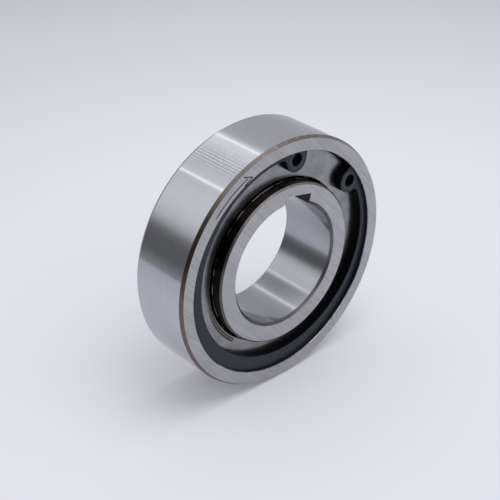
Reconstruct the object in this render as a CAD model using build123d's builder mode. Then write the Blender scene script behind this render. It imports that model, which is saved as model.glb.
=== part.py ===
"""Sprag clutch: a one-way coupling between a keyed inner race and a plain outer race.

The clutch axis is the Y axis and the origin is at the middle of the bore.
The marked front face looks towards -Y, and +Z is up when the clutch stands on its rim.
Angles are counted anticlockwise from +X, as seen from the front. All sizes are in millimetres.
"""

import os
from math import cos, radians, sin, sqrt

from build123d import *

# --- Driving dimensions -----------------------------------------------------------------------

# Envelope, shared by both races
BORE_DIAMETER = 30.0
OUTSIDE_DIAMETER = 62.0
WIDTH = 16.0

# Height of the sprag space from raceway to raceway, half-way between the bore and the outside
SPRAG_SPACE_HEIGHT = 6.0

# Outer race
RIM_WALL = 2.0
RIM_CHAMFER_RADIAL = 0.55
RIM_CHAMFER_AXIAL = 0.85
RECESS_EDGE_BREAK = 0.15

# Direction arrow, engraved in the front face of the outer race
ARROW_DEPTH = 0.06
ARROW_LINE_WIDTH = 0.3
ARROW_SHAFT_INSET = 2.3
ARROW_TAIL_ANGLE = 136.0
ARROW_NECK_ANGLE = 114.4
ARROW_TIP_INSET = 2.9
ARROW_TIP_ANGLE = 111.7
ARROW_BARB_LENGTH = 2.5
ARROW_BARB_ANGLES = (162.0, 211.5)

# Inner race
BORE_CHAMFER = 0.6
INNER_RIM_CHAMFER = 0.42
SHOULDER_DEPTH = 2.6
SHOULDER_RELIEF = 0.15
KEYWAY_WIDTH = 8.0
KEYWAY_DEPTH = 2.0
KEYWAY_ANGLE = 77.5
KEYWAY_CORNER_RADIUS = 0.2

# Circlips, one in a groove near each face
CLIP_SETBACK = 0.9
CLIP_THICKNESS = 2.0
CLIP_SIDE_CLEARANCE = 0.075
CLIP_SEAT_CLEARANCE = 0.05
CLIP_WIDEST_BAND = 5.0
CLIP_TAPER_OFFSET = 1.2
CLIP_EDGE_BREAK = 0.12
LUG_RADIUS = 3.0
LUG_HOLE_DIAMETER = 3.0
LUG_HOLE_INSET = 3.65
LUG_HALF_SPREAD = 24.3
LUG_ROOT_FILLET = 1.6
CLIP_GAP_ANGLE = {"front": 57.0, "rear": 123.0}

# Side plates, one behind each circlip
PLATE_THICKNESS = 1.0
PLATE_RIM_CLEARANCE = 0.05
PLATE_BORE_CLEARANCE = 0.4
PLATE_EDGE_BREAK = 0.12

# Sprags
SPRAG_COUNT = 18
SPRAG_CAM_RADIUS = 2.9
SPRAG_CAM_OFFSET = 0.45
SPRAG_CAM_HALF_ANGLE = 40.0
SPRAG_WAIST_WIDTH = 3.0
SPRAG_CORNER_RADIUS = 0.3
SPRAG_RUNNING_CLEARANCE = 0.04
SPRAG_END_CLEARANCE = 0.05
SPRAG_END_LAND = 0.4

# Cage
CAGE_THICKNESS = 1.2
CAGE_RIM_WIDTH = 0.65
CAGE_END_CLEARANCE = 0.1
WINDOW_SIDE_CLEARANCE = 0.4

# Garter springs, drawn as the closed ring that their coils fill
SPRING_COIL_DIAMETER = 1.0
SPRING_SIDE_CLEARANCE = 0.05
SPRING_FLOOR_CLEARANCE = 0.4

# --- Sizes that follow ------------------------------------------------------------------------

bore_radius = BORE_DIAMETER / 2
outside_radius = OUTSIDE_DIAMETER / 2
half_width = WIDTH / 2
cage_centre_radius = (bore_radius + outside_radius) / 2
inner_raceway_radius = cage_centre_radius - SPRAG_SPACE_HEIGHT / 2
outer_raceway_radius = cage_centre_radius + SPRAG_SPACE_HEIGHT / 2
inner_shoulder_radius = inner_raceway_radius - SHOULDER_RELIEF
keyway_floor_radius = bore_radius + KEYWAY_DEPTH

# The plate's shoulder is as high as the circlip groove is deep
clip_groove_radius = outside_radius - RIM_WALL
recess_radius = (outer_raceway_radius + clip_groove_radius) / 2

# Depths are measured inwards from either face
plate_depth = CLIP_SETBACK + CLIP_THICKNESS
shoulder_depth = plate_depth + PLATE_THICKNESS
space_length = WIDTH - 2 * shoulder_depth

clip_radius = clip_groove_radius - CLIP_SEAT_CLEARANCE
clip_inner_radius = clip_radius - CLIP_WIDEST_BAND + CLIP_TAPER_OFFSET
lug_hole_circle_radius = clip_radius - LUG_HOLE_INSET

cage_inner_radius = cage_centre_radius - CAGE_THICKNESS / 2
cage_outer_radius = cage_centre_radius + CAGE_THICKNESS / 2
cage_length = space_length - 2 * CAGE_END_CLEARANCE
window_length = cage_length - 2 * CAGE_RIM_WIDTH
window_width = SPRAG_WAIST_WIDTH + 2 * WINDOW_SIDE_CLEARANCE

sprag_length = window_length - 2 * SPRAG_END_CLEARANCE
spring_radius = SPRING_COIL_DIAMETER / 2
spring_centre_radius = (cage_outer_radius + outer_raceway_radius) / 2
spring_groove_width = SPRING_COIL_DIAMETER + 2 * SPRING_SIDE_CLEARANCE
spring_groove_floor_radius = spring_centre_radius - spring_radius - SPRING_FLOOR_CLEARANCE
spring_station = sprag_length / 2 - SPRAG_END_LAND - spring_groove_width / 2

OUTWARD = {"front": -1, "rear": 1}


def side_plane(side, depth, turn=0.0):
    """Plane parallel to the faces, looking out of one side, with its X axis turned by an angle."""
    return Plane(
        origin=(0, OUTWARD[side] * (half_width - depth), 0),
        x_dir=(cos(radians(turn)), 0, sin(radians(turn))),
        z_dir=(0, OUTWARD[side], 0),
    )


def write(part, name):
    """Label a finished piece and write it to its own STEP file."""
    part.label = name
    export_step(part, f"parts/{name}.step")


# --- Races ------------------------------------------------------------------------------------


def arrow_lines():
    """Centre lines of the arrow: a shaft curved with the rim, and the two barbs of its head."""
    with BuildLine(mode=Mode.PRIVATE):
        shaft_radius = outside_radius - ARROW_SHAFT_INSET
        shaft = CenterArc((0, 0), shaft_radius, ARROW_NECK_ANGLE, ARROW_TAIL_ANGLE - ARROW_NECK_ANGLE)
        tip = PolarLine((0, 0), outside_radius - ARROW_TIP_INSET, ARROW_TIP_ANGLE) @ 1
        barbs = [PolarLine(tip, ARROW_BARB_LENGTH, angle) for angle in ARROW_BARB_ANGLES]
    return [shaft, *barbs]


def make_outer_race():
    """Turned ring with a raceway, a recess and circlip groove in each face, and an engraved arrow."""
    rim_edge = half_width - RIM_CHAMFER_AXIAL
    shoulder = half_width - shoulder_depth
    groove_back = half_width - plate_depth - CLIP_SIDE_CLEARANCE
    groove_front = half_width - CLIP_SETBACK + CLIP_SIDE_CLEARANCE
    with BuildPart() as outer_race:
        with BuildSketch(Plane.XY):
            with BuildLine():
                Polyline(
                    (outside_radius, 0),
                    (outside_radius, rim_edge),
                    (outside_radius - RIM_CHAMFER_RADIAL, half_width),
                    (recess_radius + RECESS_EDGE_BREAK, half_width),
                    (recess_radius, half_width - RECESS_EDGE_BREAK),
                    (recess_radius, groove_front),
                    (clip_groove_radius, groove_front),
                    (clip_groove_radius, groove_back),
                    (recess_radius, groove_back),
                    (recess_radius, shoulder),
                    (outer_raceway_radius, shoulder),
                    (outer_raceway_radius, 0),
                )
                mirror(about=Plane.XZ)
            make_face()
        revolve(axis=Axis.Y)
        with BuildSketch(side_plane("front", 0)):
            for line in arrow_lines():
                SlotArc(line, ARROW_LINE_WIDTH)
        extrude(amount=-ARROW_DEPTH, mode=Mode.SUBTRACT)
    write(outer_race.part, "outer_race")


def make_inner_race():
    """Ring with a raised raceway, a chamfered bore and one keyway through its whole width."""
    with BuildPart() as inner_race:
        with BuildSketch(Plane.XY):
            with BuildLine():
                Polyline(
                    (bore_radius, 0),
                    (bore_radius, half_width - BORE_CHAMFER),
                    (bore_radius + BORE_CHAMFER, half_width),
                    (inner_shoulder_radius - INNER_RIM_CHAMFER, half_width),
                    (inner_shoulder_radius, half_width - INNER_RIM_CHAMFER),
                    (inner_shoulder_radius, half_width - SHOULDER_DEPTH),
                    (inner_raceway_radius, half_width - SHOULDER_DEPTH - SHOULDER_RELIEF),
                    (inner_raceway_radius, 0),
                )
                mirror(about=Plane.XZ)
            make_face()
        revolve(axis=Axis.Y)
        with BuildSketch(side_plane("front", 0, KEYWAY_ANGLE)) as keyway:
            Rectangle(keyway_floor_radius, KEYWAY_WIDTH, align=(Align.MIN, Align.CENTER))
            fillet(keyway.vertices().group_by(Axis.X)[-1], KEYWAY_CORNER_RADIUS)
        extrude(amount=-WIDTH, mode=Mode.SUBTRACT)
    write(inner_race.part, "inner_race")


# --- Circlips and side plates -----------------------------------------------------------------


def make_circlip(side):
    """Internal circlip: a tapering band, open at the gap, with an eyed lug at each end."""
    gap_reach = 2 * clip_radius
    with BuildPart() as circlip:
        with BuildSketch(side_plane(side, CLIP_SETBACK, CLIP_GAP_ANGLE[side])) as outline:
            Circle(clip_radius)
            with Locations((CLIP_TAPER_OFFSET, 0)):
                Circle(clip_inner_radius, mode=Mode.SUBTRACT)
            with BuildLine():
                lower_edge = PolarLine((0, 0), gap_reach, -LUG_HALF_SPREAD)
                upper_edge = PolarLine((0, 0), gap_reach, LUG_HALF_SPREAD)
                Line(lower_edge @ 1, upper_edge @ 1)
            make_face(mode=Mode.SUBTRACT)
            for turn, gap_side in ((-LUG_HALF_SPREAD, Align.MIN), (LUG_HALF_SPREAD, Align.MAX)):
                with PolarLocations(lug_hole_circle_radius, 1, start_angle=turn):
                    Circle(LUG_RADIUS)
                    Rectangle(2 * LUG_HOLE_INSET, LUG_RADIUS, align=(Align.MIN, gap_side))
            Circle(clip_radius, mode=Mode.INTERSECT)
            lug_roots = outline.vertices().sort_by(Axis.Y)
            fillet([lug_roots[0], lug_roots[-1]], LUG_ROOT_FILLET)
            with PolarLocations(
                lug_hole_circle_radius, 2, -LUG_HALF_SPREAD, 2 * LUG_HALF_SPREAD, endpoint=True
            ):
                Circle(LUG_HOLE_DIAMETER / 2, mode=Mode.SUBTRACT)
        extrude(amount=-CLIP_THICKNESS)
        outward = Axis((0, 0, 0), (0, OUTWARD[side], 0))
        chamfer(circlip.faces().sort_by(outward)[-1].edges(), CLIP_EDGE_BREAK)
    write(circlip.part, f"{side}_circlip")


def make_side_plate(side):
    """Flat washer that closes the sprag space, held on its shoulder by the circlip."""
    with BuildPart() as plate:
        with BuildSketch(side_plane(side, plate_depth)):
            Circle(recess_radius - PLATE_RIM_CLEARANCE)
            Circle(inner_raceway_radius + PLATE_BORE_CLEARANCE, mode=Mode.SUBTRACT)
        extrude(amount=-PLATE_THICKNESS)
        chamfer(plate.edges().filter_by(GeomType.CIRCLE), PLATE_EDGE_BREAK)
    write(plate.part, f"{side}_side_plate")


# --- Sprags, cage and garter springs ----------------------------------------------------------


def cam_centre_height(contact_radius, reach):
    """Height of a cam's centre over the sprag's middle, for a cam that stops short of its raceway.

    The reach is the cam's radius and clearance, positive outwards from the inner raceway
    and negative inwards from the outer one.
    """
    return sqrt((contact_radius + reach) ** 2 - SPRAG_CAM_OFFSET**2) - cage_centre_radius


def sprag_plane(turn):
    """Plane through the middle of a sprag, with Y outwards and Z towards the front."""
    across, up = cos(radians(turn)), sin(radians(turn))
    return Plane(
        origin=(cage_centre_radius * across, 0, cage_centre_radius * up),
        x_dir=(up, 0, -across),
        z_dir=(0, -1, 0),
    )


def make_sprag(name, turn):
    """Waisted wedging piece with two offset cams, notched at both ends for the garter springs."""
    reach = SPRAG_CAM_RADIUS + SPRAG_RUNNING_CLEARANCE
    inner_centre = (SPRAG_CAM_OFFSET, cam_centre_height(inner_raceway_radius, reach))
    outer_centre = (-SPRAG_CAM_OFFSET, cam_centre_height(outer_raceway_radius, -reach))
    cam_arc = 2 * SPRAG_CAM_HALF_ANGLE
    groove_floor = spring_groove_floor_radius - cage_centre_radius
    groove_height = outer_raceway_radius - spring_groove_floor_radius
    groove_reach = 2 * (SPRAG_CAM_RADIUS + SPRAG_CAM_OFFSET)
    with BuildPart() as sprag:
        with BuildSketch(sprag_plane(turn)):
            with BuildLine():
                inner_cam = CenterArc(inner_centre, SPRAG_CAM_RADIUS, 270 - SPRAG_CAM_HALF_ANGLE, cam_arc)
                outer_cam = CenterArc(outer_centre, SPRAG_CAM_RADIUS, 90 - SPRAG_CAM_HALF_ANGLE, cam_arc)
                ThreePointArc(inner_cam @ 1, (SPRAG_WAIST_WIDTH / 2, 0), outer_cam @ 0)
                ThreePointArc(outer_cam @ 1, (-SPRAG_WAIST_WIDTH / 2, 0), inner_cam @ 0)
            make_face()
        extrude(amount=sprag_length / 2, both=True)
        fillet(sprag.edges().filter_by(Axis.Y), SPRAG_CORNER_RADIUS)
        for station in (-spring_station, spring_station):
            with BuildSketch(sprag_plane(turn).offset(station - spring_groove_width / 2)):
                with Locations((0, groove_floor)):
                    Rectangle(groove_reach, groove_height, align=(Align.CENTER, Align.MIN))
            extrude(amount=spring_groove_width, mode=Mode.SUBTRACT)
    write(sprag.part, name)


def make_cage(turns):
    """Thin sleeve with one window for each sprag, between two rims."""
    with BuildPart() as cage:
        with BuildSketch(Plane.XZ.offset(-cage_length / 2)):
            Circle(cage_outer_radius)
            Circle(cage_inner_radius, mode=Mode.SUBTRACT)
        extrude(amount=cage_length)
        for turn in turns:
            outwards = (cos(radians(turn)), 0, sin(radians(turn)))
            with BuildSketch(Plane(origin=(0, 0, 0), x_dir=(0, 1, 0), z_dir=outwards)):
                Rectangle(window_length, window_width)
            extrude(amount=outside_radius, mode=Mode.SUBTRACT)
    write(cage.part, "sprag_cage")


def make_garter_spring(side):
    """Closed coil spring round all the sprags, pulling each of them into contact."""
    with BuildPart() as spring:
        with BuildSketch(Plane.XY):
            with Locations((spring_centre_radius, OUTWARD[side] * spring_station)):
                Circle(spring_radius)
        revolve(axis=Axis.Y)
    write(spring.part, f"{side}_garter_spring")


# --- Assembly ---------------------------------------------------------------------------------


os.makedirs("parts", exist_ok=True)
make_outer_race()
make_inner_race()
for side in OUTWARD:
    make_circlip(side)
    make_side_plate(side)
    make_garter_spring(side)

sprag_turns = [360 / SPRAG_COUNT * index for index in range(SPRAG_COUNT)]
make_cage(sprag_turns)
for number, turn in enumerate(sprag_turns, start=1):
    make_sprag(f"sprag_{number:02d}", turn)
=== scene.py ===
"""Sprag clutch: finishes of the steel parts, coiled garter springs, studio and camera.

Everything is in metres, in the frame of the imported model: the clutch axis is Y, the front face
looks towards -Y and the clutch stands on its rim with +Z up.
"""

from math import cos, hypot, pi, radians, sin, tau

import bmesh
import bpy
from mathutils import Matrix, Vector


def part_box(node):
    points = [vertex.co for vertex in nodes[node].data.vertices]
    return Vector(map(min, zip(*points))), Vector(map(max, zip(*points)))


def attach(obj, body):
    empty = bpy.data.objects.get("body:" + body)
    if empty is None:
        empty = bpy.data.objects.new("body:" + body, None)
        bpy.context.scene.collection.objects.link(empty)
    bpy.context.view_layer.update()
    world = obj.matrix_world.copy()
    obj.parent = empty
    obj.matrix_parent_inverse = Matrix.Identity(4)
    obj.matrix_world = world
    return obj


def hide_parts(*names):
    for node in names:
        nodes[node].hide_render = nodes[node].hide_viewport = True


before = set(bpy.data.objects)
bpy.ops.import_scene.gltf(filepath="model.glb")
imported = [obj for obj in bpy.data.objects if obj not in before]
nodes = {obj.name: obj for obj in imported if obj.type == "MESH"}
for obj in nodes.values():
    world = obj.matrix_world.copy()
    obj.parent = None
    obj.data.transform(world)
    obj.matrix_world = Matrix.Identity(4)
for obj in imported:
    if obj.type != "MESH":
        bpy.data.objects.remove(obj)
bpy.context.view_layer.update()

MM = 0.001
sprags = sorted(name for name in nodes if name.startswith("sprag_") and name != "sprag_cage")


def inner_radius(name):
    """Distance from the clutch axis to the nearest corner of a CAD node."""
    return min(hypot(v.co.x, v.co.z) for v in nodes[name].data.vertices)


# Sizes read from the frame
race_low, race_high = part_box("outer_race")
outside_radius = race_high.x
half_width = race_high.y
floor_height = race_low.z
outer_raceway_radius = inner_radius("outer_race")
inner_raceway_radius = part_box("inner_race")[1].x
bore_radius = inner_radius("inner_race")


# --- Materials: helpers -----------------------------------------------------------------------


def linear(hex_colour):
    """An sRGB hex colour as linear red, green, blue and alpha."""
    channels = [int(hex_colour[i : i + 2], 16) / 255 for i in (1, 3, 5)]
    return [c / 12.92 if c <= 0.04045 else ((c + 0.055) / 1.055) ** 2.4 for c in channels] + [1.0]


def grey(level):
    """A colour without hue."""
    return [level, level, level, 1.0]


def add(tree, kind, inputs=None, **settings):
    """Adds a node. An input that is given a socket is linked to it, any other gets the value."""
    node = tree.nodes.new("ShaderNode" + kind)
    for name, value in settings.items():
        setattr(node, name, value)
    for name, value in (inputs or {}).items():
        if isinstance(value, bpy.types.NodeSocket):
            tree.links.new(value, node.inputs[name])
        else:
            node.inputs[name].default_value = value
    return node


def new_material(name, metallic, roughness, **inputs):
    """A material with one Principled shader, whose constants are set on its own sockets."""
    material = bpy.data.materials.new(name)
    material.use_nodes = True
    tree = material.node_tree
    shader = tree.nodes["Principled BSDF"]
    shader.inputs["Metallic"].default_value = metallic
    shader.inputs["Roughness"].default_value = roughness
    for socket, value in inputs.items():
        shader.inputs[socket.replace("_", " ")].default_value = value
    return material, tree, shader


def feed(tree, shader, **patterns):
    """Links patterns to the shader's sockets."""
    for socket, pattern in patterns.items():
        tree.links.new(pattern, shader.inputs[socket.replace("_", " ")])


def grain(tree, spacing, stretch=(1, 1, 1), turn=0.0, detail=2.0, roughness=0.5):
    """A pattern from 0 to 1 with grains a spacing apart in millimetres.

    The grains are stretched along the part's axes, after these are turned round Y.
    """
    place = add(tree, "TexCoord").outputs["Object"]
    size = [MM * spacing * s for s in stretch]
    inputs = {"Vector": place, "Rotation": (0, turn, 0), "Scale": size}
    laid = add(tree, "Mapping", inputs, vector_type="TEXTURE").outputs["Vector"]
    inputs = {"Vector": laid, "Scale": 1.0, "Detail": detail, "Roughness": roughness}
    return add(tree, "TexNoise", inputs).outputs["Fac"]


def shade(tree, amount, low, high, first, second):
    """The first colour up to a low amount, the second from a high one, and a blend between."""
    inputs = {"Value": amount, "From Min": low, "From Max": high}
    share = add(tree, "MapRange", inputs).outputs["Result"]
    inputs = {"Factor": share, "A": first, "B": second}
    return add(tree, "Mix", inputs, data_type="RGBA").outputs["Result"]


def average(tree, *amounts):
    """The mean of some amounts."""
    total = amounts[0]
    for amount in amounts[1:]:
        total = add(tree, "Math", {0: total, 1: amount}, operation="ADD").outputs[0]
    return add(tree, "Math", {0: total, 1: 1 / len(amounts)}, operation="MULTIPLY").outputs[0]


def lay(tree, direction):
    """Direction of the part along which a ground surface smears its highlights."""
    x, y, z = direction
    fixed = add(tree, "CombineXYZ", {"X": x, "Y": y, "Z": z}).outputs["Vector"]
    turned = add(
        tree, "VectorTransform", {"Vector": fixed},
        vector_type="VECTOR", convert_from="OBJECT", convert_to="WORLD",
    )
    return turned.outputs["Vector"]


def round_place(tree):
    """Radius from the clutch axis in metres, and angle in degrees from +X towards +Z."""
    place = add(tree, "TexCoord").outputs["Object"]
    flat = add(tree, "VectorMath", {0: place, 1: (1, 0, 1)}, operation="MULTIPLY").outputs[0]
    radius = add(tree, "VectorMath", {0: flat}, operation="LENGTH").outputs["Value"]
    parts = add(tree, "SeparateXYZ", {"Vector": place}).outputs
    # Counted from straight down, so that the seam of the angle lies at the bottom
    left = add(tree, "Math", {0: parts["X"], 1: -1.0}, operation="MULTIPLY").outputs[0]
    turn = add(tree, "Math", {0: left, 1: parts["Z"]}, operation="ARCTAN2").outputs[0]
    angle = add(tree, "Math", {0: turn, 1: 180 / pi, 2: 90.0}, operation="MULTIPLY_ADD")
    return radius, angle.outputs[0]


def band(tree, amount, centre, half_width, height=1.0):
    """A smooth bump round one value of an amount."""
    far = add(tree, "Math", {0: amount, 1: centre}, operation="SUBTRACT").outputs[0]
    far = add(tree, "Math", {0: far}, operation="ABSOLUTE").outputs[0]
    inputs = {"Value": far, "From Min": 0.0, "From Max": half_width, "To Min": height, "To Max": 0.0}
    return add(tree, "MapRange", inputs, interpolation_type="SMOOTHSTEP").outputs["Result"]


# --- Materials: the finishes of the clutch ----------------------------------------------------

# Nearly all of a pattern of grains lies between these, and of an average of several patterns
GRAIN_RANGE = (0.35, 0.65)
MIXED_RANGE = (0.38, 0.62)
SHEEN_RANGE = {"From Min": 0.3, "From Max": 0.7}

AXIS = (0, 1, 0)
# Stretches a pattern into long marks round the clutch axis
LONG_ROUND = (30, 1, 30)


def ground_round(name, dark, light, roughness, anisotropy):
    """Bearing steel ground between centres or in the bore.

    The wheel leaves fine marks round the part, so it mirrors sharply round the part and
    smears along the axis into bright and dark bars.
    """
    material, tree, shader = new_material(name, 1.0, roughness, Anisotropic=anisotropy)
    # Marks 0.02 mm apart are too fine to show, so they are drawn 0.3 mm apart
    marks = grain(tree, 0.3, LONG_ROUND)
    specks = grain(tree, 0.35, detail=1)
    stains = grain(tree, 9.0, detail=3)
    mixed = average(tree, marks, specks, stains)
    colour = shade(tree, mixed, *MIXED_RANGE, linear(dark), linear(light))
    feed(tree, shader, Base_Color=colour, Tangent=lay(tree, AXIS))
    return material


# Direction of the grinding marks, from +X towards +Z
FACE_LAY = radians(-49)
FACE_TONES = (0.34, 0.64)
# Pits stand about 7 mm apart, and their radius is a share of that; relief is in mm
PIT_SPACING = 7.0
PIT_SIZE = 0.018
FACE_RELIEF = 0.0005


def surface_ground_steel():
    """Bearing steel ground flat on a magnetic table, both races together.

    The marks are straight and cross both faces in one direction, pale and dark by turns, with
    a pit here and there.
    """
    material, tree, shader = new_material("surface_ground_steel", 1.0, 0.30, Anisotropic=0.6)
    # Marks 0.03 mm apart are too fine to show, so they are drawn 0.2 mm apart
    marks = grain(tree, 0.2, (70, 1, 1), -FACE_LAY, detail=2)
    wide_marks = grain(tree, 0.7, (35, 1, 1), -FACE_LAY, detail=1)
    stains = grain(tree, 7.0, detail=3)
    mixed = average(tree, marks, marks, wide_marks, stains)
    colour = shade(tree, mixed, *FACE_TONES, linear("#9A9A9C"), linear("#B8B8B9"))
    place = add(tree, "TexCoord").outputs["Object"]
    inputs = {"Vector": place, "Scale": 1 / (PIT_SPACING * MM)}
    nearest = add(tree, "TexVoronoi", inputs).outputs["Distance"]
    colour = shade(tree, nearest, PIT_SIZE, 2 * PIT_SIZE, linear("#55545A"), colour)
    inputs = {"Height": marks, "Distance": FACE_RELIEF * MM, "Strength": 1.0}
    relief = add(tree, "Bump", inputs).outputs["Normal"]
    across = lay(tree, (-sin(FACE_LAY), 0, cos(FACE_LAY)))
    feed(tree, shader, Base_Color=colour, Normal=relief, Tangent=across)
    return material


# Along X in mm: the oxide is thick and brown up to the first, and thin and plum from the second on
BROWN_SIDE_X = -26.0
PLUM_SIDE_X = -8.0
OXIDE_TONES = (0.22, 0.72)
HIGHLIGHT_PATCH_TONES = (0.77, 0.86)


def hardening_oxide(name, thin, thick):
    """Brown oxide that hardening leaves where no wheel reaches: the chamfers of the rims.

    It is thick and brown towards -X and thin and plum towards +X, mottled, and its lighter patches
    towards +X are painted highlights.
    """
    material, tree, shader = new_material(name, 1.0, 0.34)
    place = add(tree, "TexCoord").outputs["Object"]
    side = add(tree, "SeparateXYZ", {"Vector": place}).outputs["X"]
    inputs = {"Value": side, "From Min": BROWN_SIDE_X * MM, "From Max": PLUM_SIDE_X * MM}
    toward_plum_side = add(tree, "MapRange", inputs).outputs["Result"]
    mixed = average(tree, toward_plum_side, grain(tree, 2.0, detail=4))
    colour = shade(tree, mixed, *OXIDE_TONES, linear(thick), linear(thin))
    # Lighter patches towards +X: painted highlights
    rubbed = average(tree, toward_plum_side, grain(tree, 0.6, detail=3))
    colour = shade(tree, rubbed, *HIGHLIGHT_PATCH_TONES, colour, linear("#ADA5A2"))
    feed(tree, shader, Base_Color=colour)
    return material


# Half-width of the inner race's raceway with its slanted edge, and width of the blend, in mm
RACEWAY_END = 5.42
RACEWAY_BLEND = 0.08
OIL_TONES = (0.46, 0.54)


def inner_wall_steel():
    """Outside of the inner race: a ground raceway for the sprags, between two idle shoulders.

    The shoulders keep their black-brown scale. The edge of the raceway is a bright line, dulled
    by oil in places.
    """
    material, tree, shader = new_material("inner_wall_steel", 1.0, 0.26)
    place = add(tree, "TexCoord").outputs["Object"]
    station = add(tree, "SeparateXYZ", {"Vector": place}).outputs["Y"]
    station = add(tree, "Math", {0: station}, operation="ABSOLUTE").outputs[0]
    patches = grain(tree, 2.0, detail=4)
    scale = shade(tree, patches, *GRAIN_RANGE, linear("#2A2422"), linear("#3B3230"))
    oil = grain(tree, 2.6, detail=4)
    ground = shade(tree, oil, *OIL_TONES, linear("#1E1D1B"), linear("#5C5B58"))
    start, end = RACEWAY_END * MM, (RACEWAY_END + RACEWAY_BLEND) * MM
    colour = shade(tree, station, start, end, ground, scale)
    inputs = {"Value": station, "From Min": start, "From Max": end, "To Min": 0.22, "To Max": 0.30}
    sheen = add(tree, "MapRange", inputs).outputs["Result"]
    feed(tree, shader, Base_Color=colour, Roughness=sheen)
    return material


HONED_TONES = (0.42, 0.55)


def broken_edge_steel():
    """Edges broken with a hone: bright bare steel with a narrow mirror."""
    material, tree, shader = new_material("honed_edge_steel", 1.0, 0.10)
    patches = grain(tree, 0.5, detail=3)
    colour = shade(tree, patches, *HONED_TONES, linear("#7C7B7F"), linear("#A9A8AC"))
    feed(tree, shader, Base_Color=colour)
    return material


def turned_dark_steel():
    """Turned and hardened steel in the recesses: grey scale over fine turning marks."""
    material, tree, shader = new_material("turned_dark_steel", 1.0, 0.32)
    # Turning feed of 0.1 mm, drawn 0.25 mm apart so that it shows
    marks = grain(tree, 0.25, (50, 1, 50))
    colour = shade(tree, marks, *GRAIN_RANGE, linear("#5C5A5E"), linear("#716F73"))
    feed(tree, shader, Base_Color=colour)
    return material


BURN_AND_SHADE_TONES = (0.3, 0.7)


def burnt_and_shade_black_steel():
    """Steel burnt by electric engraving: dull and almost black. On the keyway walls the same black is
    painted shade.
    """
    material, tree, shader = new_material("burnt_and_shade_black_steel", 0.0, 0.6)
    burn_and_shade = grain(tree, 0.3)
    colour = shade(tree, burn_and_shade, *BURN_AND_SHADE_TONES, linear("#1C1B1F"), linear("#34333A"))
    feed(tree, shader, Base_Color=colour)
    return material


# Where the front plate was rubbed when it was fitted: radii in mm, angles in degrees
RUB_RADII = (20.9, 21.6)
RUB_START = (188.0, 212.0)
RUB_END = (227.5, 230.0)
RUB_MARGIN = 0.3
RUB_STRENGTH = 3.0
RUB_RING = 0.24
RING_TONES = (0.1, 0.6)
SOIL_TONES = (0.55, 0.75)


def rub_mark(tree, colour):
    """Lays the soil of two thin brown rings, and a thinner film between them, over a colour."""
    radius, angle = round_place(tree)
    inner, outer = [r * MM for r in RUB_RADII]
    reach = (outer - inner) / 2 + RUB_MARGIN * MM
    width = band(tree, radius, (inner + outer) / 2, reach, RUB_STRENGTH)
    rings = [band(tree, radius, r, RUB_RING * MM) for r in (inner, outer)]
    ring = add(tree, "Math", {0: rings[0], 1: rings[1]}, operation="MAXIMUM").outputs[0]
    soil = shade(tree, ring, *RING_TONES, linear("#71685C"), linear("#1A1411"))
    soil = shade(tree, grain(tree, 0.35, detail=3), *SOIL_TONES, soil, linear("#6B5F50"))
    start = shade(tree, angle, *RUB_START, grey(0.0), grey(1.0))
    end = shade(tree, angle, *RUB_END, grey(1.0), grey(0.0))
    arc = add(tree, "VectorMath", {0: start, 1: end}, operation="MULTIPLY").outputs[0]
    worn = add(tree, "VectorMath", {0: arc, "Scale": width}, operation="SCALE").outputs[0]
    worn = add(tree, "SeparateXYZ", {"Vector": worn}).outputs["X"]
    return shade(tree, worn, 0.0, 1.0, colour, soil)


def lapped_plate_steel(name, rubbed):
    """Rolled and tumbled strip steel: grey, finely grained, and a soft mirror.

    A rubbed plate has two thin brown rings beside its bore, over part of a turn.
    """
    material, tree, shader = new_material(name, 1.0, 0.26)
    # Grains of 0.02 mm are too fine to show, so they are drawn 0.3 mm wide
    grains = grain(tree, 0.3, detail=3, roughness=0.8)
    clouds = grain(tree, 3.0, detail=3)
    mixed = average(tree, grains, grains, clouds)
    colour = shade(tree, mixed, *MIXED_RANGE, linear("#737476"), linear("#A2A3A5"))
    if rubbed:
        colour = rub_mark(tree, colour)
    inputs = {"Value": grains, **SHEEN_RANGE, "To Min": 0.21, "To Max": 0.28}
    sheen = add(tree, "MapRange", inputs).outputs["Result"]
    feed(tree, shader, Base_Color=colour, Roughness=sheen)
    return material


# The circlips' gaps and eyes: angles in degrees, sizes in mm
CLIP_GAP_ANGLE = {"front": 57.0, "rear": 123.0}
EYE_CIRCLE = 25.3
EYE_SPREAD = 24.3
EYE_RING_RADIUS = 2.15
EYE_RING_EDGE = 0.25
CLIP_RELIEF = 0.003


def blackened_spring_steel(name, gap_angle):
    """Hardened spring strip, blackened and oiled: slate blue-black with a soft sheen.

    Round each of the two eyes the colour is lighter, in a ring.
    """
    material, tree, shader = new_material(name, 0.0, 0.32, Specular_IOR_Level=0.28)
    grains = grain(tree, 0.5, detail=4)
    colour = shade(tree, grains, *GRAIN_RANGE, linear("#1A2027"), linear("#232A32"))
    place = add(tree, "TexCoord").outputs["Object"]
    flat = add(tree, "VectorMath", {0: place, 1: (1, 0, 1)}, operation="MULTIPLY").outputs[0]
    for turn in (gap_angle - EYE_SPREAD, gap_angle + EYE_SPREAD):
        eye = (EYE_CIRCLE * MM * cos(radians(turn)), 0, EYE_CIRCLE * MM * sin(radians(turn)))
        away = add(tree, "VectorMath", {0: flat, 1: eye}, operation="DISTANCE").outputs["Value"]
        near, far = EYE_RING_RADIUS * MM, (EYE_RING_RADIUS + EYE_RING_EDGE) * MM
        colour = shade(tree, away, near, far, linear("#2E3339"), colour)
    inputs = {"Value": grains, **SHEEN_RANGE, "To Min": 0.27, "To Max": 0.38}
    sheen = add(tree, "MapRange", inputs).outputs["Result"]
    inputs = {"Height": grains, "Distance": CLIP_RELIEF * MM, "Strength": 1.0}
    relief = add(tree, "Bump", inputs).outputs["Normal"]
    feed(tree, shader, Base_Color=colour, Roughness=sheen, Normal=relief)
    return material


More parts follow.
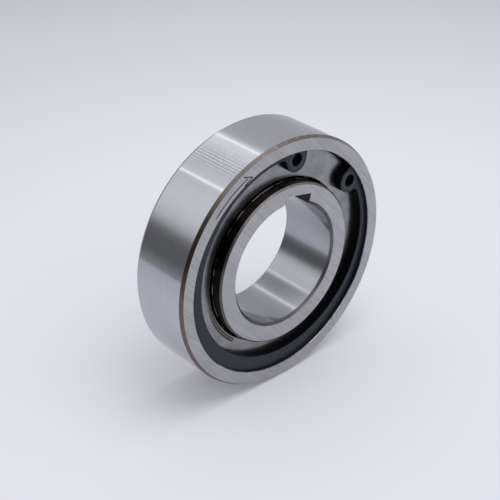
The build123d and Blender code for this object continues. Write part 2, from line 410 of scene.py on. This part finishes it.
def sheared_and_shaded_spring_steel():
    """Walls of a circlip, left rough by the punch and painted almost black as shade in the recess:
    they mirror almost nothing.
    """
    material, tree, shader = new_material(
        "sheared_and_shaded_spring_steel", 0.0, 0.5, Specular_IOR_Level=0.08
    )
    tears = grain(tree, 0.3, (1, 4, 1), detail=3)
    # Near-black walls: painted shade, darker than the face of the same steel
    colour = shade(tree, tears, *GRAIN_RANGE, linear("#050506"), linear("#0D0E11"))
    feed(tree, shader, Base_Color=colour)
    return material


SPRAG_RELIEF = 0.004


def tumbled_steel():
    """Sprags of drawn bearing steel, tumbled in ceramic chips: an even, fine satin."""
    material, tree, shader = new_material("tumbled_steel", 1.0, 0.28)
    grains = grain(tree, 0.4, detail=4)
    colour = shade(tree, grains, *GRAIN_RANGE, linear("#A3A3A6"), linear("#BDBDC0"))
    inputs = {"Height": grains, "Distance": SPRAG_RELIEF * MM, "Strength": 1.0}
    relief = add(tree, "Bump", inputs).outputs["Normal"]
    feed(tree, shader, Base_Color=colour, Normal=relief)
    return material


def pressed_strip_steel():
    """Cage of cold-rolled strip: bright, with long rolling streaks round the sleeve."""
    material, tree, shader = new_material("pressed_strip_steel", 1.0, 0.35)
    streaks = grain(tree, 0.4, (10, 1, 10), detail=3)
    colour = shade(tree, streaks, *GRAIN_RANGE, linear("#B1AEA6"), linear("#C8C5BD"))
    feed(tree, shader, Base_Color=colour)
    return material


def drawn_spring_wire():
    """Hard-drawn wire: smooth dark grey, a little lighter and darker in specks."""
    material, tree, shader = new_material("drawn_spring_wire", 1.0, 0.3)
    specks = grain(tree, 0.2)
    colour = shade(tree, specks, *GRAIN_RANGE, linear("#7E7E80"), linear("#98989A"))
    feed(tree, shader, Base_Color=colour)
    return material


# --- Dressing the CAD nodes -------------------------------------------------------------------

# How much of its direction a face has along the clutch axis: flat faces, round walls, and the
# chamfers and broken edges, which slant
FLAT = 0.99
ROUND = 0.01
SLANTED = (0.3, 0.9)

# Places that differ by less than this are the same
SAME_PLACE = 0.02 * MM
ENGRAVING_DEPTH = 0.1 * MM
# How far in from the outside and the faces the finishes of the rims and edges reach
RIM_REACH = 1.0 * MM
EDGE_REACH = 0.3 * MM
SHOULDER_REACH = 0.6 * MM


def dress(name, finishes, choose):
    """Gives a CAD node its finishes; choose names the one for a face's place and direction."""
    mesh = nodes[name].data
    mesh.materials.clear()
    for finish in finishes.values():
        mesh.materials.append(finish)
    order = list(finishes)
    for face in mesh.polygons:
        face.material_index = order.index(choose(face.center, abs(face.normal.y)))


def is_slanted(lean):
    """Whether a face is part of a chamfer or a broken edge."""
    least, most = SLANTED
    return least < lean < most


def outer_race_finish(place, lean):
    """Ground where it seats or runs, engraved in the arrow, and as hardened elsewhere."""
    depth = half_width - abs(place.y)
    radius = hypot(place.x, place.z)
    at_rim = radius > outside_radius - RIM_REACH
    if lean > FLAT and depth < SAME_PLACE:
        return "face"
    in_front_face = place.y < 0 and depth < ENGRAVING_DEPTH and not at_rim
    if in_front_face and (lean > FLAT or lean < ROUND):
        return "engraving"
    if lean < ROUND and (at_rim or radius < outer_raceway_radius + SAME_PLACE):
        return "outside"
    if is_slanted(lean) and at_rim:
        return "chamfer"
    if is_slanted(lean) and depth < EDGE_REACH:
        return "edge"
    return "turned"


def inner_race_finish(place, lean):
    """Ground faces and bore; oxide on the outside and its rims; keyway painted black as shade; turned
    chamfers.
    """
    depth = half_width - abs(place.y)
    radius = hypot(place.x, place.z)
    if lean > FLAT:
        return "face"
    if radius > inner_raceway_radius - SHOULDER_REACH:
        return "rim" if lean > ROUND and depth < RIM_REACH else "wall"
    if lean < ROUND:
        return "bore" if radius < bore_radius + SAME_PLACE else "keyway"
    return "turned"


def plate_finish(place, lean):
    """Dull along the edge of the bore, which runs round the inner race."""
    beside_bore = hypot(place.x, place.z) < inner_raceway_radius + RIM_REACH
    return "edge" if is_slanted(lean) and beside_bore else "flat"


def clip_finish(place, lean):
    """Walls painted black as shade, and a smoother face with its broken edges."""
    return "wall" if lean < SLANTED[0] else "face"


def dress_whole(names, finish):
    """Gives CAD nodes one finish all over."""
    for name in names:
        nodes[name].data.materials.clear()
        nodes[name].data.materials.append(finish)


face_steel = surface_ground_steel()
turned_steel = turned_dark_steel()
black_steel = burnt_and_shade_black_steel()
sheared_and_shaded_steel = sheared_and_shaded_spring_steel()

outer_race_finishes = {
    "outside": ground_round("cylindrically_ground_steel", "#B3B4B9", "#BBBCC1", 0.10, 0.4),
    "face": face_steel,
    "edge": broken_edge_steel(),
    "chamfer": hardening_oxide("rim_oxide", "#827A77", "#6E6159"),
    "turned": turned_steel,
    "engraving": black_steel,
}
inner_race_finishes = {
    "bore": ground_round("bore_ground_steel", "#A4A5AA", "#ABACB1", 0.15, 0.4),
    "face": face_steel,
    "turned": turned_steel,
    "rim": hardening_oxide("edge_oxide", "#858180", "#3E3A39"),
    "wall": inner_wall_steel(),
    # The keyway walls take the engraving's black as painted shade
    "keyway": black_steel,
}
dress("outer_race", outer_race_finishes, outer_race_finish)
dress("inner_race", inner_race_finishes, inner_race_finish)
for side, gap_angle in CLIP_GAP_ANGLE.items():
    plate_steel = lapped_plate_steel(f"lapped_plate_steel_{side}", rubbed=side == "front")
    dress(f"{side}_side_plate", {"flat": plate_steel, "edge": turned_steel}, plate_finish)
    clip_steel = blackened_spring_steel(f"blackened_spring_steel_{side}", gap_angle)
    dress(f"{side}_circlip", {"face": clip_steel, "wall": sheared_and_shaded_steel}, clip_finish)
dress_whole(["sprag_cage"], pressed_strip_steel())
dress_whole(sprags, tumbled_steel())


# --- Garter springs ---------------------------------------------------------------------------

# The turns of a real spring touch. Here they stand 0.3 mm apart, so that the mesh stays light.
SPRING_WIRE = 0.2 * MM
SPRING_TURNS = 480
POINTS_PER_TURN = 8


def garter_spring(side, finish):
    """Closed ring of coiled wire, in place of the plain ring of the CAD node."""
    node = f"{side}_garter_spring"
    low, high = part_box(node)
    coil_radius = (high.y - low.y) / 2
    ring_radius = high.x - coil_radius
    wind_radius = coil_radius - SPRING_WIRE / 2
    station = (high.y + low.y) / 2
    curve = bpy.data.curves.new(f"{node}_coil", "CURVE")
    curve.dimensions = "3D"
    curve.bevel_depth = SPRING_WIRE / 2
    curve.bevel_resolution = 1
    count = SPRING_TURNS * POINTS_PER_TURN
    line = curve.splines.new("POLY")
    line.points.add(count - 1)
    for index, point in enumerate(line.points):
        coil_turn = tau * index / POINTS_PER_TURN
        ring_turn = tau * index / count
        radius = ring_radius + wind_radius * cos(coil_turn)
        along = station + wind_radius * sin(coil_turn)
        point.co = (radius * cos(ring_turn), along, radius * sin(ring_turn), 1)
    line.use_cyclic_u = True
    wound = bpy.data.objects.new("winding", curve)
    mesh = bpy.data.meshes.new_from_object(wound)
    bpy.data.objects.remove(wound)
    bpy.data.curves.remove(curve)
    coil = bpy.data.objects.new(f"{node}_coil", mesh)
    bpy.context.scene.collection.objects.link(coil)
    mesh.materials.clear()
    mesh.materials.append(finish)
    mesh.shade_smooth()
    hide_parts(node)
    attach(coil, "cage")


wire_finish = drawn_spring_wire()
for side in ("front", "rear"):
    garter_spring(side, wire_finish)


# --- Studio: helpers --------------------------------------------------------------------------

# Straight sides of each round piece of the stage
RIM_STEPS = 96


def stage_piece(name, bm, finish):
    """Turns a bmesh into a piece of the stage."""
    mesh = bpy.data.meshes.new(name)
    bm.to_mesh(mesh)
    bm.free()
    mesh.materials.append(finish)
    piece = bpy.data.objects.new(name, mesh)
    bpy.context.scene.collection.objects.link(piece)
    return piece


def show_in_metal_only(piece):
    """Leaves a piece of the stage visible to reflections alone."""
    piece.visible_camera = False
    piece.visible_diffuse = False
    piece.visible_transmission = False
    piece.visible_volume_scatter = False
    piece.visible_shadow = False


def bare_material(name):
    """A material whose surface is still to be linked."""
    material = bpy.data.materials.new(name)
    material.use_nodes = True
    tree = material.node_tree
    tree.nodes.remove(tree.nodes["Principled BSDF"])
    return material, tree


# --- Studio: table ----------------------------------------------------------------------------

FLOOR_COLOUR = "#E1E2E9"
FLOOR_SHADED_COLOUR = "#C0C1C7"
# The card is painted greyer between these distances from its middle, as a painted falloff of light
FLOOR_LIGHT_MIDDLE = (0.021, 0.008, 0.0)
FLOOR_LIGHT_FALLOFF = (0.10, 0.33)
FLOOR_GLOW = 0.12
# The mottle's spacing in mm, and how far it shifts the painted falloff in metres
MOTTLE_SPACING = 60.0
MOTTLE_REACH = 0.01
TABLE_RADIUS = 0.28
SURROUND_RADIUS = 3.0


def floor_paint():
    """Matt white card with a very faint mottle, painted a little greyer away from its middle as a
    falloff of light.
    """
    material, tree, shader = new_material("matt_card", 0.0, 0.9, Specular_IOR_Level=0.1)
    place = add(tree, "TexCoord").outputs["Object"]
    flat = add(tree, "VectorMath", {0: place, 1: (1, 1, 0)}, operation="MULTIPLY").outputs[0]
    away = add(tree, "VectorMath", {0: flat, 1: FLOOR_LIGHT_MIDDLE}, operation="DISTANCE").outputs["Value"]
    inputs = {0: grain(tree, MOTTLE_SPACING), 1: MOTTLE_REACH, 2: away}
    wander = add(tree, "Math", inputs, operation="MULTIPLY_ADD").outputs[0]
    # Painted falloff of light: greyer away from the middle
    colour = shade(tree, wander, *FLOOR_LIGHT_FALLOFF, linear(FLOOR_COLOUR), linear(FLOOR_SHADED_COLOUR))
    # Part of its brightness is its own, for the camera and for metal, so that shadows stay light
    rays = add(tree, "LightPath").outputs
    inputs = {0: rays["Is Camera Ray"], 1: rays["Is Glossy Ray"]}
    seen = add(tree, "Math", inputs, operation="MAXIMUM").outputs[0]
    glow = add(tree, "Math", {0: seen, 1: FLOOR_GLOW}, operation="MULTIPLY").outputs[0]
    rest = add(tree, "Math", {0: 1.0, 1: glow}, operation="SUBTRACT").outputs[0]
    painted = add(tree, "VectorMath", {0: colour, "Scale": rest}, operation="SCALE").outputs[0]
    feed(tree, shader, Base_Color=painted, Emission_Color=colour, Emission_Strength=glow)
    return material


def make_floor():
    """A round table top, and a wide surround at the same height that metal doesn't mirror."""
    finish = floor_paint()
    at_floor = Matrix.Translation((0, 0, floor_height))
    bm = bmesh.new()
    shape = {"segments": RIM_STEPS, "matrix": at_floor}
    bmesh.ops.create_circle(bm, cap_ends=True, radius=TABLE_RADIUS, **shape)
    stage_piece("table_top", bm, finish)
    bm = bmesh.new()
    for radius in (TABLE_RADIUS, SURROUND_RADIUS):
        bmesh.ops.create_circle(bm, radius=radius, **shape)
    bmesh.ops.bridge_loops(bm, edges=bm.edges)
    bmesh.ops.recalc_face_normals(bm, faces=bm.faces)
    surround = stage_piece("table_surround", bm, finish)
    surround.visible_glossy = False


# --- Studio: light tent -----------------------------------------------------------------------

# The light tent is a white cloth tube round the clutch axis, with a brighter roof. Each pair is an
# angle in degrees, from +X towards +Z, and the brightness of the cloth there.
TENT_RADIUS = 0.15
TENT_LENGTH = 1.2
TENT_COLOUR = "#FBFCFF"
RIGHT_WALL = [(17, 0.57), (45, 0.62), (60, 0.69), (66.5, 0.76)]
ROOF = [
    (69.0, 1.15), (73, 1.26), (78, 1.28), (82, 1.17), (88, 1.04), (98, 0.96), (108, 1.03),
    (113, 1.12), (117.2, 0.98), (122, 1.05), (135, 1.08), (143, 1.02),
]
SHADED_WALL = [
    (148, 0.93), (152, 0.79), (156, 0.58), (159.5, 0.36), (162.4, 0.25), (167, 0.19), (178, 0.18),
]
LOW_WALL = [(182, 0.21), (188.7, 0.36), (195, 0.44)]
TENT = RIGHT_WALL + ROOF + SHADED_WALL + LOW_WALL
# Two light tubes along the clutch axis; angles in degrees
TUBE_ANGLES = (71.7, 113.3)
TUBE_HALF_WIDTH = 1.7
TUBE_BRIGHTNESS = 0.9
# Slats in the roof between the two light tubes
SLAT_CENTRE = 91.1
SLAT_SPACING = 2.7
SLAT_DEPTH = 0.85
SLAT_REACH = 12.0
SLATS_ASIDE = 2.0
# Opening for the camera, stretched along the clutch axis
OPENING_PLACE = (-0.125, -0.130, 0.065)
OPENING_SQUEEZE = (1.0, 0.6, 1.0)
OPENING_RADIUS = 0.055
OPENING_EDGE = 0.055
OPENING_BRIGHTNESS = 0.12


def cloth_glow(tree, degrees):
    """Brightness of the tent's cloth, blended between the levels of its list."""
    share = add(tree, "Math", {0: degrees, 1: 360.0}, operation="DIVIDE").outputs[0]
    ramp = add(tree, "ValToRGB", {"Fac": share})
    stops = ramp.color_ramp.elements
    for stop, (angle, level) in zip(stops, (TENT[0], TENT[-1])):
        stop.position = angle / 360
        stop.color = grey(level)
    for angle, level in TENT[1:-1]:
        stops.new(angle / 360).color = grey(level)
    return ramp.outputs["Color"]


def slats(tree, degrees):
    """Pale and dark slats across the roof, which fade towards the light tubes."""
    turns = add(tree, "Math", {0: degrees, 1: SLAT_CENTRE}, operation="SUBTRACT").outputs[0]
    phase = add(tree, "Math", {0: turns, 1: tau / SLAT_SPACING}, operation="MULTIPLY").outputs[0]
    wave = add(tree, "Math", {0: phase}, operation="COSINE").outputs[0]
    depth = band(tree, degrees, SLAT_CENTRE + SLATS_ASIDE, SLAT_REACH, -SLAT_DEPTH)
    return add(tree, "Math", {0: wave, 1: depth}, operation="MULTIPLY").outputs[0]


def tent_light():
    """Glow of the tent: cloth, slats, two light tubes along Y, and the opening for the camera."""
    material, tree = bare_material("tent_light")
    material.cycles.emission_sampling = "NONE"
    degrees = round_place(tree)[1]
    glow = cloth_glow(tree, degrees)
    extras = [band(tree, degrees, angle, TUBE_HALF_WIDTH, TUBE_BRIGHTNESS) for angle in TUBE_ANGLES]
    extras.append(slats(tree, degrees))
    for extra in extras:
        glow = add(tree, "VectorMath", {0: glow, 1: extra}, operation="ADD").outputs[0]
    place = add(tree, "TexCoord").outputs["Object"]
    away = add(tree, "VectorMath", {0: place, 1: OPENING_PLACE}, operation="SUBTRACT").outputs[0]
    away = add(tree, "VectorMath", {0: away, 1: OPENING_SQUEEZE}, operation="MULTIPLY").outputs[0]
    reach = add(tree, "VectorMath", {0: away}, operation="LENGTH").outputs["Value"]
    inputs = {
        "Value": reach, "From Min": OPENING_RADIUS, "From Max": OPENING_RADIUS + OPENING_EDGE,
        "To Min": OPENING_BRIGHTNESS, "To Max": 1.0,
    }
    dim = add(tree, "MapRange", inputs, interpolation_type="SMOOTHSTEP").outputs["Result"]
    glow = add(tree, "VectorMath", {0: glow, "Scale": dim}, operation="SCALE").outputs[0]
    white = linear(TENT_COLOUR)[:3]
    glow = add(tree, "VectorMath", {0: glow, 1: white}, operation="MULTIPLY").outputs[0]
    emission = add(tree, "Emission", {"Color": glow, "Strength": 1.0})
    tree.links.new(emission.outputs["Emission"], tree.nodes["Material Output"].inputs["Surface"])
    return material


def make_tent():
    """The tube of cloth round the table. Only polished metal shows it."""
    bm = bmesh.new()
    along_axis = Matrix.Rotation(pi / 2, 4, "X")
    radii = {"radius1": TENT_RADIUS, "radius2": TENT_RADIUS}
    bmesh.ops.create_cone(bm, segments=RIM_STEPS, **radii, depth=TENT_LENGTH, matrix=along_axis)
    show_in_metal_only(stage_piece("light_tent", bm, tent_light()))


# --- Studio: sheet of painted shadow ----------------------------------------------------------

SHADOW_SHEET_PLACE = (0.0015, 0.063, 0.06)
SHADOW_SHEET_HALF_SIZE = (0.021, 0.016)
# Share of its half-size at which it starts to thin out
SHADOW_SHEET_EDGE = 0.8
SHADOW_SHEET_TONE = 0.5


def painted_shadow_filter():
    """Grey see-through sheet that paints shadow: it dims what shines through it, and thins out to
    nothing along its border.
    """
    material, tree = bare_material("painted_shadow_filter")
    place = add(tree, "TexCoord").outputs["Object"]
    from_middle = add(tree, "VectorMath", {0: place, 1: SHADOW_SHEET_PLACE}, operation="SUBTRACT").outputs[0]
    size = (*SHADOW_SHEET_HALF_SIZE, 1.0)
    offset = add(tree, "VectorMath", {0: from_middle, 1: size}, operation="DIVIDE").outputs[0]
    offset = add(tree, "VectorMath", {0: offset}, operation="ABSOLUTE").outputs[0]
    parts = add(tree, "SeparateXYZ", {"Vector": offset}).outputs
    rim = add(tree, "Math", {0: parts["X"], 1: parts["Y"]}, operation="MAXIMUM").outputs[0]
    # Grey inside the border: painted shadow in what the bore mirrors
    colour = shade(tree, rim, SHADOW_SHEET_EDGE, 1.0, grey(SHADOW_SHEET_TONE), grey(1.0))
    clear = add(tree, "BsdfTransparent", {"Color": colour})
    tree.links.new(clear.outputs["BSDF"], tree.nodes["Material Output"].inputs["Surface"])
    return material


def make_shadow_sheet():
    """A sheet of painted shadow over the rear of the clutch, which only the bore mirrors."""
    bm = bmesh.new()
    at_place = Matrix.Translation(SHADOW_SHEET_PLACE) @ Matrix.Diagonal((*SHADOW_SHEET_HALF_SIZE, 1, 1))
    bmesh.ops.create_grid(bm, x_segments=1, y_segments=1, size=1.0, matrix=at_place)
    show_in_metal_only(stage_piece("painted_shadow_sheet", bm, painted_shadow_filter()))


# --- Studio: room and lamp --------------------------------------------------------------------

ROOM_LEVEL = 0.74
ROOM_COLOUR = "#FDFDFF"
KEY_POWER = 1.3
KEY_SIZE = 0.45
KEY_PLACE = (0.04, -0.13, 0.54)


def make_world():
    """An even, pale room."""
    world = bpy.data.worlds.new("pale_room")
    bpy.context.scene.world = world
    world.use_nodes = True
    background = world.node_tree.nodes["Background"]
    background.inputs["Color"].default_value = linear(ROOM_COLOUR)
    background.inputs["Strength"].default_value = ROOM_LEVEL


def make_key_light():
    """One big soft lamp above and in front; metal mirrors the tent, not the lamp."""
    lamp = bpy.data.lights.new("soft_key", "AREA")
    lamp.shape = "DISK"
    lamp.size = KEY_SIZE
    lamp.energy = KEY_POWER
    holder = bpy.data.objects.new("soft_key", lamp)
    holder.location = KEY_PLACE
    holder.rotation_euler = Vector(KEY_PLACE).to_track_quat("Z", "Y").to_euler()
    holder.visible_glossy = False
    bpy.context.scene.collection.objects.link(holder)


make_floor()
make_tent()
make_shadow_sheet()
make_world()
make_key_light()


# --- Camera -----------------------------------------------------------------------------------

# From the middle of the clutch: lengths in metres, the lens in millimetres
CAMERA_AZIMUTH = radians(-42.39)
CAMERA_ELEVATION = radians(31.12)
CAMERA_DISTANCE = 0.2795
CAMERA_ASIDE = -0.00283
CAMERA_RAISED = 0.00019
CAMERA_LENS = 86.3
CAMERA_NEAR = 0.01


def make_camera():
    """Camera above the left front of the clutch, looking down at it."""
    back = Vector((
        sin(CAMERA_AZIMUTH) * cos(CAMERA_ELEVATION),
        -cos(CAMERA_AZIMUTH) * cos(CAMERA_ELEVATION),
        sin(CAMERA_ELEVATION),
    ))
    right = Vector((0, 0, 1)).cross(back).normalized()
    up = back.cross(right)
    camera = bpy.data.objects.new("camera", bpy.data.cameras.new("camera"))
    camera.data.lens = CAMERA_LENS
    camera.data.clip_start = CAMERA_NEAR
    place = right * CAMERA_ASIDE + up * CAMERA_RAISED + back * CAMERA_DISTANCE
    camera.matrix_world = Matrix.Translation(place) @ Matrix((right, up, back)).transposed().to_4x4()
    bpy.context.scene.collection.objects.link(camera)
    bpy.context.scene.camera = camera


make_camera()
bpy.context.scene.view_settings.view_transform = "Standard"
